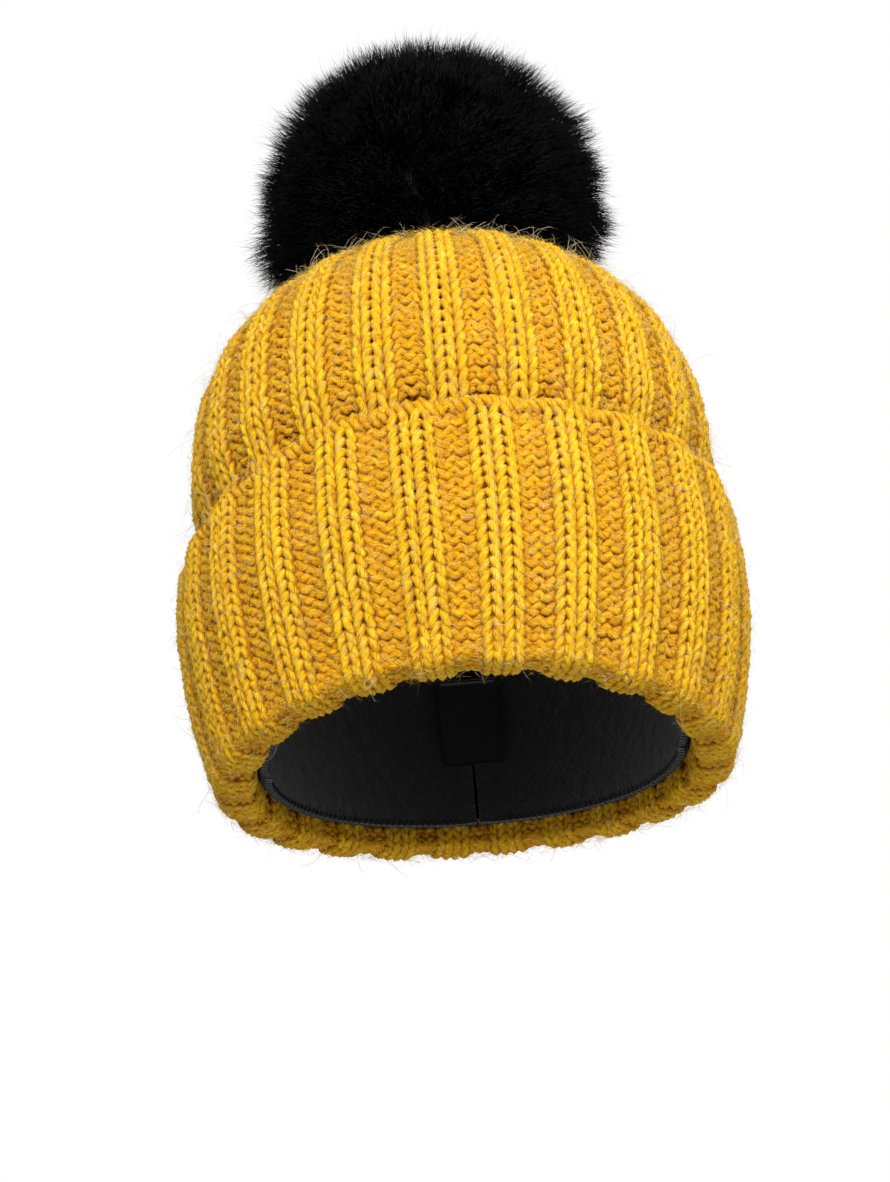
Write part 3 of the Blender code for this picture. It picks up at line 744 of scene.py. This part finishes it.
def strand_piece(name, roots, tips, bow, radius, knots, material):
    """Three-sided hairs: each runs root + t (tip - root) + 4 t (1 - t) bow, with a ring at each knot t."""
    count, segments = len(roots), len(knots)
    axis = unit(tips - roots)
    side = unit(np.cross(axis, np.array([0.31, 0.53, 0.79])))
    up = np.cross(axis, side)
    t = np.array(knots, float)[None, :, None]
    line = roots[:, None] + t * (tips - roots)[:, None] + 4 * t * (1 - t) * bow[:, None]
    turn = 2 * math.pi * np.arange(3) / 3
    ring = np.cos(turn)[:, None] * side[:, None] + np.sin(turn)[:, None] * up[:, None]
    width = radius[:, None, None, None] * (1 - HAIR_TAPER * t[:, :, None])
    rings = line[:, :, None] + width * ring[:, None]
    points = np.concatenate([rings.reshape(count, -1, 3), tips[:, None]], axis=1)
    i = np.arange(3)
    last = 3 * (segments - 1)
    tip = np.stack([last + i, last + (i + 1) % 3, np.full(3, last + 3)], axis=1)
    corners = np.concatenate([[0, 2, 1], grid_quads(segments, 3, False, True).ravel(), tip.ravel()])
    sizes = [3] + [4] * last + [3] * 3
    all_corners = np.arange(count)[:, None] * (3 * segments + 1) + corners
    return add_piece(name, points.reshape(-1, 3), all_corners.ravel(), np.tile(sizes, count), material)


def fuzz_piece(name, face, span, count, size, lift, knots, seed, drop, material):
    """Fibres rooted at random in the stitches of a face, leaning at random over them."""
    chance = np.random.default_rng(seed)
    turn = chance.uniform(0, 2 * math.pi, count)
    along = chance.uniform(*span, count)
    keep = chance.uniform(0, HALF_WIDTH, count) < face.place(along, 0)[0]
    turn, along = turn[keep], along[keep]
    count = len(turn)
    along = drop(turn, along)
    roots = face.point(turn, along, -chance.uniform(*FIBRE_ROOTS, count))
    out = face.outward(turn, along, 0.0)
    length = size * chance.lognormal(0, 0.35, count)[:, None]
    lean = unit(chance.normal(0, 1, (count, 3)))
    lean = unit(lean - (lean * out).sum(axis=1, keepdims=True) * out)
    rise = lift * chance.uniform(0.3, 1.0, count)[:, None]
    tips = roots + length * (lean + rise * out)
    bow = length * FIBRE_BOW * unit(chance.normal(0, 1, (count, 3)) + out)
    radius = (FLYAWAY_RADIUS if knots is CURLED else FIBRE_RADIUS) * chance.uniform(0.6, 1.5, count)
    return strand_piece(name, roots, tips, bow, radius, knots, material)


def fibre_material(name, dyed, half_dyed, undyed):
    """Fibres that took the dye in full, by half or hardly, side by side."""
    return grained_material(name, half_dyed, 0.6, (900.0, 1.0),
                            [(0.35, dyed), (0.53, half_dyed), (0.68, undyed)], Specular_IOR_Level=0.25)


fibre = fibre_material("wool_fibre", (0.84, 0.52, 0.022), (0.94, 0.68, 0.075), (0.90, 0.72, 0.30))
pale_fibre = fibre_material("pale_wool_fibre", (0.80, 0.62, 0.30), (0.86, 0.76, 0.54), (0.85, 0.82, 0.72))
cuff_span = (0.0, cuff.length * CUFF_FUZZ_END)
crown_end = length_at_radius(crown, CROWN_END_RADIUS + FUZZ_CLEAR)
crown_span = (plain_start, crown_end)
top_span = (plain_end * TOP_FUZZ_START, crown_end)
# name, face, span along it, how many, length, lift, knots, seed of the chance, settling, material
FUZZ = (
    ("cuff_fuzz", cuff, cuff_span, 29000, 0.0042, 0.40, SHORT, 41, cuff_slump, fibre),
    ("crown_fuzz", crown, crown_span, 34000, 0.0046, 0.45, SHORT, 42, no_slump, fibre),
    ("top_fuzz", crown, top_span, 39000, 0.0040, 0.40, SHORT, 45, no_slump, fibre),
    ("cuff_flyaway", cuff, cuff_span, 1900, 0.0058, 0.70, CURLED, 43, cuff_slump, pale_fibre),
    ("crown_flyaway", crown, crown_span, 4200, 0.0068, 0.80, CURLED, 44, no_slump, pale_fibre),
)
for name, face, *laying in FUZZ:
    fuzz = fuzz_piece(name, face, *laying)
    finish_knit(fuzz, "turned_up_cuff" if face is cuff else "knit_crown")

# ---------------------------------------------------------------- fleece lining
# Four gores of black fleece, sewn edge to edge into a cap and hemmed to the inside of the brim.

LINING_THICKNESS = 0.0026
LINING_EASE = 0.003
LINING_HEM_HEIGHT = 0.010
GORES = 4
SEAM_GAP = 0.0006
SEAM_ROLL = 0.0012  # how far a gore's edge rolls in at its seam,
SEAM_WIDTH = 0.004  # within this distance of it,
SEAM_FADE_RADIUS = 0.02  # and less and less nearer the pole than this


def lining_face():
    """Outer face of the lining: even inside the crown, loose at the top, straight at the hem."""
    width = HALF_WIDTH - CROWN_INSET
    outer = Face(np.vstack([
        (BRIM_OPENING + KNIT_THICKNESS, FOLD_HEIGHT + LAYER_GAP),
        ((BRIM_OPENING + width) / 2 + KNIT_THICKNESS / 8, (FOLD_HEIGHT + CUFF_BELLY_HEIGHT * 0.75) / 2),
        crown.line[::8]]), -1)
    along = np.linspace(0, outer.length, 60)
    loose = KNIT_THICKNESS + LAYER_GAP + LINING_EASE * smooth_step(along / outer.length * 2)
    radius, height = outer.place(along, -loose)
    wall = np.stack([radius, height], axis=1)[radius > POLE_RADIUS]
    edge = BRIM_OPENING - LAYER_GAP
    wall = wall[wall[:, 1] > FOLD_HEIGHT + 0.004]
    hem = np.array([(edge, LINING_HEM_HEIGHT), (edge, FOLD_HEIGHT + 2 * LAYER_GAP)])
    return np.vstack([hem, wall])


def fleece_material():
    """Black fleece: fine pile on broader curls, with a soft sheen."""
    material, tree, shader = new_material("black_fleece", (0.012, 0.012, 0.014), 0.95, Sheen_Weight=0.35,
                                          Sheen_Roughness=0.6, Specular_IOR_Level=0.15)
    pile = noise(tree, on_object(tree), 750.0, 4.0, 0.7)
    curls = noise(tree, on_object(tree), 190.0, 2.0, 0.5)
    colour = colour_ramp(tree, pile, [(0.3, (0.004, 0.004, 0.005)), (0.7, (0.022, 0.022, 0.025))])
    feed(tree, shader.inputs["Base Color"], colour)
    raise_grain(tree, shader, math_node(tree, "MULTIPLY_ADD", curls, 1.4, pile), 0.9, 0.0014)
    return material


def closed_sheet(name, front, back, material):
    """A sheet with two faces and four closed edges, from the two faces' grids of points."""
    rows, columns = front.shape[:2]
    shell = np.concatenate([front, back[:, ::-1]], axis=1)
    quads = grid_quads(rows, 2 * columns, False, True)
    i = np.arange(columns - 1)
    end = np.stack([i, i + 1, 2 * columns - 2 - i, 2 * columns - 1 - i], axis=1)
    quads = np.vstack([quads, end, end[:, ::-1] + (rows - 1) * 2 * columns])
    return quad_piece(name, shell, quads, material)


def gore_piece(number, face, material, columns=40, rows=70):
    """One gore as a closed shell. Its long edges roll inwards towards their seams."""
    start = math.pi / 2 + number * math.pi / 2
    across = np.linspace(0, 1, columns)
    along = np.linspace(0, face.length, rows)
    radius = face.place(along, 0)[0]
    gap = SEAM_GAP / np.maximum(radius, POLE_RADIUS)
    turn = start + gap[:, None] + across[None, :] * (math.pi / 2 - 2 * gap[:, None])
    from_seam = np.minimum(across, 1 - across) * math.pi / 2 * radius[:, None]
    fade = smooth_step(radius[:, None] / SEAM_FADE_RADIUS)
    roll = SEAM_ROLL * np.exp(-(from_seam / SEAM_WIDTH) ** 2) * fade
    outer = face.point(turn, along[:, None], -roll)
    inner = face.point(turn, along[:, None], -roll - LINING_THICKNESS * np.ones_like(turn))
    return closed_sheet(f"fleece_gore_{number + 1}", outer, inner, material)


fleece = fleece_material()
lining = Face(lining_face(), -1, softness=5)
for number in range(GORES):
    gore = finish(gore_piece(number, lining, fleece), "hat", f"lining_gore_{number + 1}")

# ---------------------------------------------------------------- hem stitches
# A strong black thread whipped over the lining's edge all the way round the brim.

HEM_THREAD = 0.0004
HEM_REACH = 0.0017
HEM_WRAPS = 190
HEM_LIFT = 0.0006  # middle of the wraps above the lining's edge


def thread_material():
    """Twisted black polyester thread."""
    return grained_material("black_thread", (0.015, 0.015, 0.017), 0.6, (3500.0, 2.0),
                            [(0.3, (0.006, 0.006, 0.007)), (0.7, (0.03, 0.03, 0.033))],
                            (0.6, 0.0002), Sheen_Weight=0.1)


def hem_stitches():
    """A thread wound round the lining's edge: a ring whose small circle turns HEM_WRAPS times."""
    turn = np.linspace(0, 2 * math.pi, HEM_WRAPS * WRAP_SAMPLES, endpoint=False)
    wind = HEM_WRAPS * turn
    depth = -LINING_THICKNESS / 2 + HEM_REACH * np.cos(wind)
    return face_ring(lining, turn, HEM_LIFT + HEM_REACH * np.sin(wind), depth, 0.0)


thread = thread_material()
hem = yarn_piece("hem_whip_stitches", *hem_stitches(), HEM_THREAD, thread)
finish(hem, "hat", "lining_hem_thread")

# ---------------------------------------------------------------- care label
# A blank strip of black satin ribbon, sewn to the lining at the back by its upper edge. It hangs
# free below its stitches, curling a little.

LABEL_CURL = 0.0013
LABEL_SHEET = 0.0004
LABEL_END = 0.001  # the solid's corners this near its top or bottom give the label's two ends
label_low, label_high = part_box("care_label")
LABEL_WIDTH = label_high.x - label_low.x


def satin_material():
    """Black satin ribbon: the waves of its two threads, with the gloss drawn out along them."""
    material, tree, shader = new_material("black_satin", (0.02, 0.02, 0.021), 0.38, Sheen_Weight=0.1,
                                          Anisotropic=0.4)
    down, across = (node(tree, "TexWave", {"Vector": on_object(tree), "Scale": scale, "Distortion": 0.4},
                         bands_direction=way).outputs["Fac"] for scale, way in ((420.0, "Z"), (300.0, "X")))
    both = math_node(tree, "MULTIPLY_ADD", across, 0.5, down)
    colour = colour_ramp(tree, both, [(0.2, (0.010, 0.010, 0.011)), (1.0, (0.030, 0.030, 0.032))])
    feed(tree, shader.inputs["Base Color"], colour)
    raise_grain(tree, shader, both, 0.35, 0.00015)
    return material


def label_piece(material, columns=14, rows=22):
    """A strip hung from its top edge, u across it from -0.5 to 0.5 and v down it from 0 to 1.

    It stands off by LABEL_CURL times (1 - cos 3v) (0.35 + u) / 2 + v sin(6u) / 4.
    """
    co = np.array([v.co for v in frame["nodes"]["care_label"].data.vertices])
    top = co[co[:, 2] > label_high.z - LABEL_END].mean(axis=0)
    bottom = co[co[:, 2] < label_low.z + LABEL_END].mean(axis=0)
    across, down = np.meshgrid(np.linspace(-0.5, 0.5, columns), np.linspace(0, 1, rows))
    out = unit(np.cross(bottom - top, np.array([1.0, 0, 0])))
    curl = LABEL_CURL * (0.5 * (1 - np.cos(3 * down)) * (0.35 + across) + 0.25 * np.sin(6 * across) * down)
    middle = top + down[..., None] * (bottom - top) + across[..., None] * np.array([LABEL_WIDTH, 0, 0])
    front = middle + (curl + LABEL_SHEET / 2)[..., None] * out
    return closed_sheet("care_label_satin", front, front - LABEL_SHEET * out, material)


label = finish(label_piece(satin_material()), "label", "care_label")

# ---------------------------------------------------------------- pompom
# A ball of long black fur: a pelt drawn into a bag round an egg of wadding, on a leatherette disc
# with the socket half of the press stud.

spin = next(j for j in frame["joints"] if j["name"] == "pompom_spin")
POMPOM_ROOT = np.array(spin["pos_m"])
POMPOM_AXIS = unit(np.array(spin["axis"]))
POMPOM_SIDE = np.array([1.0, 0.0, 0.0])
POMPOM_FRONT = np.cross(POMPOM_AXIS, POMPOM_SIDE)
pelt_low, pelt_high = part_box("fur_pelt")
PELT_RADIUS = (pelt_high.x - pelt_low.x) / 2
PELT_CENTRE = (pelt_high.z - PELT_RADIUS - POMPOM_ROOT[2]) / POMPOM_AXIS[2]
SKIN_RADIUS = 0.75 * PELT_RADIUS
NECK_LIFT = 0.0098
NECK_START, NECK_BAND = 0.66, 0.32  # the bag narrows to its neck below here (axis part of a direction)
wadding_low, wadding_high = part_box("pompom_wadding")
WADDING_HALF_WIDTH = (wadding_high.x - wadding_low.x) / 2
WADDING_HALF_HEIGHT = 0.039
WADDING_LIFT = ((wadding_low.z + wadding_high.z) / 2 - POMPOM_ROOT[2]) / POMPOM_AXIS[2]
FUR_REACH = 1.14 * PELT_RADIUS
# directions (side, front, axis), how much longer the fur is there, and over how wide a patch
BULGES = ((-0.64, 0.0, 0.77, -0.060, 0.15), (-0.95, 0.0, -0.30, 0.030, 0.15),
          (1.0, 0.0, 0.0, 0.020, 0.15), (0.0, 0.0, -1.0, 0.24, 0.30))
GUARD_HAIR_SHARE = 0.10  # long thin hairs that stand out of the rest
FUR_PIECES = 3
HAIRS_PER_PIECE = 16500
TUFTS = 420
HAIR_RADIUS = 0.000184
TUFT_PULL = (0.05, 0.55)  # how far hairs lean towards their tuft's middle
SWEEP = np.array([0.05, -0.02, -0.10])  # the way all the fur is brushed (side, front, axis)
HAIR_BOW = 0.0022
NO_HAIR_BELOW = -0.975  # no hair grows where the bag is drawn in (axis part of its direction)
FUR_KNOTS = (0.0, 0.78)
FUR_PRESS = -0.0008  # how far hair tips press into the knit


def pompom_point(vectors, lift=PELT_CENTRE):
    """Points in the hat's frame, from side, front and axis distances from a point on the pompom's axis."""
    centre = POMPOM_ROOT + lift * POMPOM_AXIS
    return centre + vectors @ np.stack([POMPOM_SIDE, POMPOM_FRONT, POMPOM_AXIS])


def even_directions(count):
    """Directions spread evenly over a ball, by the golden angle."""
    z = 1 - 2 * (np.arange(count) + 0.5) / count
    turn = np.arange(count) * math.pi * (3 - math.sqrt(5))
    flat = np.sqrt(1 - z * z)
    return np.stack([flat * np.cos(turn), flat * np.sin(turn), z], axis=1)


def room_above_knit(directions, reach):
    """How far a hair may go in each direction from the pelt's centre before it meets the crown.

    The crown drops below its pole by height (1 - (1 - share^p)^(1/p)), where share is the distance
    from its axis as a share of its half width.
    """
    steps = np.linspace(0.5, 1.30, 48) * PELT_RADIUS
    points = pompom_point(directions[:, None] * steps[None, :, None])
    away = points - POMPOM_ROOT
    tip = (DOME_HEIGHT - SLOUCH_START) * LEAN_RATE
    up = away[..., 1] * math.sin(tip) + away[..., 2] * math.cos(tip)
    flat = np.sqrt(np.maximum((away**2).sum(axis=-1) - up**2, 0))
    share = np.clip(flat / (HALF_WIDTH - CROWN_INSET), 0, 0.999)
    drop = (DOME_HEIGHT - CROWN_BASE) * (1 - (1 - share**DOME_POWER) ** (1 / DOME_POWER))
    clear = up + drop > FUR_PRESS
    first = np.where(clear.all(axis=1), len(steps) - 1, np.argmin(clear, axis=1))
    return np.minimum(reach, steps[first])


def fur_piece(index, material):
    """Hairs rooted in the pelt, gathered by their tips into tufts, longer on some sides than others."""
    chance = np.random.default_rng(60 + index)
    tufts = unit(np.random.default_rng(59).normal(0, 1, (TUFTS, 3)))
    own = unit(even_directions(HAIRS_PER_PIECE) + chance.normal(0, 0.05, (HAIRS_PER_PIECE, 3)))
    own = own[own[:, 2] > NO_HAIR_BELOW]
    nearest = np.argmax(own @ tufts.T, axis=1)
    pull = chance.uniform(*TUFT_PULL, len(own))[:, None]
    aim = unit(own * (1 - pull) + tufts[nearest] * pull + SWEEP + chance.normal(0, 0.05, own.shape))
    x, y, z = own.T
    lumps = 1 + 0.012 * np.sin(5 * x + 1.3) * np.cos(4 * z - 0.4) + 0.015 * np.sin(9 * y)
    for side, front, axis, swell, patch in BULGES:
        lumps = lumps + swell * np.exp((own @ np.array([side, front, axis]) - 1) / patch)
    tuft_size = np.random.default_rng(58).normal(1, 0.024, TUFTS)[nearest]
    guard = chance.uniform(0, 1, len(own)) < GUARD_HAIR_SHARE
    reach = FUR_REACH * lumps * tuft_size * np.where(guard, 1.06, 1.0) * chance.uniform(0.93, 1.0, len(own))
    reach = room_above_knit(aim, reach)
    roots = pompom_point(own * SKIN_RADIUS * 0.9)
    tips = pompom_point(aim * reach[:, None])
    bow = HAIR_BOW * chance.normal(0, 1, own.shape)
    radius = HAIR_RADIUS * np.where(guard, 0.5, 1.0) * chance.uniform(0.75, 1.25, len(own))
    return strand_piece(f"pompom_fur_{index + 1}", roots, tips, bow, radius, FUR_KNOTS, material)


def ball_piece(name, radius_of, lift, material, columns=96, rows=60):
    """A closed ball: radius_of gives its radius for each direction. Its poles are single points."""
    tilt = np.linspace(0, math.pi, rows)[1:-1]
    turn = np.linspace(0, 2 * math.pi, columns, endpoint=False)
    tilt, turn = np.meshgrid(tilt, turn, indexing="ij")
    ways = np.stack([np.sin(tilt) * np.cos(turn), np.sin(tilt) * np.sin(turn), np.cos(tilt)], axis=-1)
    ways = np.vstack([ways.reshape(-1, 3), (0, 0, 1), (0, 0, -1)])
    points = pompom_point(ways * radius_of(ways)[:, None], lift)
    quads = grid_quads(rows - 2, columns, False, True)
    i = np.arange(columns)
    j = (i + 1) % columns
    top, bottom = (rows - 2) * columns, (rows - 2) * columns + 1
    last = (rows - 3) * columns
    fans = np.stack([np.full(columns, top), j, i], axis=1)
    base = np.stack([np.full(columns, bottom), last + i, last + j], axis=1)
    corners = np.concatenate([quads.ravel(), fans.ravel(), base.ravel()])
    sizes = np.concatenate([np.full(len(quads), 4), np.full(2 * columns, 3)])
    return outwards(add_piece(name, points, corners, sizes, material))


def pelt_radius(ways):
    """The pelt's skin: a ball with shallow lumps that narrows downwards to the neck of the bag."""
    lumps = 0.03 * np.sin(6 * ways[:, 0] + 1) * np.cos(5 * ways[:, 1]) + 0.015 * np.sin(9 * ways[:, 2])
    neck = smooth_step((-ways[:, 2] - NECK_START) / NECK_BAND) * (PELT_CENTRE - NECK_LIFT - SKIN_RADIUS)
    return SKIN_RADIUS * (1 + lumps * (ways[:, 2] > -NECK_START)) + neck


def wadding_radius(ways):
    """An egg of wadding: 1 / sqrt((flat / width)^2 + (upright / height)^2), with soft lumps inside that."""
    flat = (ways[:, 0] ** 2 + ways[:, 1] ** 2) / WADDING_HALF_WIDTH**2
    egg = 1 / np.sqrt(flat + ways[:, 2] ** 2 / WADDING_HALF_HEIGHT**2)
    return egg * (0.95 - 0.03 * np.sin(7 * ways[:, 0]) * np.cos(8 * ways[:, 1] + 1))


def fur_material():
    """Black fur: hardly any colour, and a narrow gloss along each hair."""
    return grained_material("black_fur", (0.003, 0.003, 0.003), 0.36, (140.0, 2.0),
                            [(0.35, (0.0005, 0.0005, 0.0007)), (0.75, (0.003, 0.003, 0.0032))],
                            Specular_IOR_Level=0.12)


def wadding_material():
    """White polyester wadding, matted unevenly."""
    return grained_material("white_wadding", (0.8, 0.8, 0.78), 0.95, (320.0, 5.0, 0.75),
                            [(0.3, (0.60, 0.60, 0.58)), (0.65, (0.86, 0.86, 0.84))],
                            (0.9, 0.0015), Sheen_Weight=0.2)


fur = fur_material()
pelt = ball_piece("pompom_pelt", pelt_radius, PELT_CENTRE, fur)
finish(pelt, "pompom", "fur_pelt")
wadding = ball_piece("pompom_filling", wadding_radius, WADDING_LIFT, wadding_material(), 64, 40)
finish(wadding, "pompom", "pompom_wadding")
for index in range(FUR_PIECES):
    finish(fur_piece(index, fur), "pompom", "fur_pelt")

# ---------------------------------------------------------------- press stud
# A nickel press stud holds the pompom on. Its stud half is riveted through the gathered top of
# the crown to a cap and a felt washer inside; its socket half is riveted to a leatherette disc.

NICKEL_PARTS = ("snap_stud", "stud_back_cap", "snap_spring_ring", "snap_socket", "socket_rivet_cap")
GATHER_TWISTS = 24
GATHER_WOBBLE = 0.0005
GATHER_YARN = YARN_RADIUS * 0.6
GATHER_PAINTED_SHADE = 0.3  # painted shade on the gathering yarn, from 0 to 1


def nickel_material():
    """Nickel plate, a little duller and darker where it is worn."""
    material, tree, shader = new_material("stud_nickel", (0.62, 0.60, 0.56), 0.26, Metallic=1.0)
    wear = noise(tree, on_object(tree), 900.0, 4.0, 0.7)
    colour = colour_ramp(tree, wear, [(0.3, (0.50, 0.485, 0.45)), (0.6, (0.66, 0.645, 0.61))])
    rough = node(tree, "MapRange", {"Value": wear, "To Min": 0.18, "To Max": 0.38})
    feed(tree, shader.inputs["Base Color"], colour)
    feed(tree, shader.inputs["Roughness"], rough.outputs["Result"])
    raise_grain(tree, shader, wear, 0.15, 0.0001)
    return material


def felt_material():
    """Pressed black felt."""
    return grained_material("black_felt", (0.02, 0.02, 0.022), 0.95, (1500.0, 5.0, 0.8),
                            [(0.3, (0.008, 0.008, 0.009)), (0.7, (0.045, 0.045, 0.05))],
                            (0.9, 0.0004), Sheen_Weight=0.3)


def leatherette_material():
    """Black leatherette: small cells with darker creases between them."""
    material, tree, shader = new_material("black_leatherette", (0.02, 0.02, 0.02), 0.5)
    cells = node(tree, "TexVoronoi", {"Vector": on_object(tree), "Scale": 1400.0}, feature="DISTANCE_TO_EDGE")
    grain = cells.outputs["Distance"]
    colour = colour_ramp(tree, grain, [(0.0, (0.006, 0.006, 0.006)), (0.3, (0.028, 0.027, 0.026))])
    feed(tree, shader.inputs["Base Color"], colour)
    raise_grain(tree, shader, grain, 0.6, 0.0002)
    return material


def gather_path(samples=288):
    """The drawn-in yarn: a ring round the pompom's axis that weaves in and out of the last stitches."""
    low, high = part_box("crown_gather_yarn")
    reach = (high.x - low.x) / 2 - GATHER_YARN
    turn = np.linspace(0, 2 * math.pi, samples, endpoint=False)
    weave = GATHER_WOBBLE * np.sin(GATHER_TWISTS * turn)
    flat = np.stack([np.sin(turn), -np.cos(turn), 0 * turn], axis=1)
    rise = np.array([0.0, 0.0, 1.0])
    points = pompom_point(flat * reach + weave[:, None] * rise, 0.0)
    out = pompom_point(flat * 0 + rise, 0.0) - POMPOM_ROOT
    even = np.ones((1, samples))
    return points[None], out[None], GATHER_PAINTED_SHADE * even, even


def dress(names, material):
    """Gives CAD pieces whose shape is already right their finished material."""
    for name in names:
        for slot in frame["nodes"][name].material_slots:
            slot.material = material


dress(NICKEL_PARTS, nickel_material())
dress(["stud_felt_washer"], felt_material())
dress(["pompom_base_disc"], leatherette_material())
dress(["pelt_draw_thread", "label_stitch"], thread)
gather = yarn_piece("gather_yarn", *gather_path(), GATHER_YARN, wool)
finish(gather, "gathered_top", "crown_gather_yarn")

# ---------------------------------------------------------------- size

low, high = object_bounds()
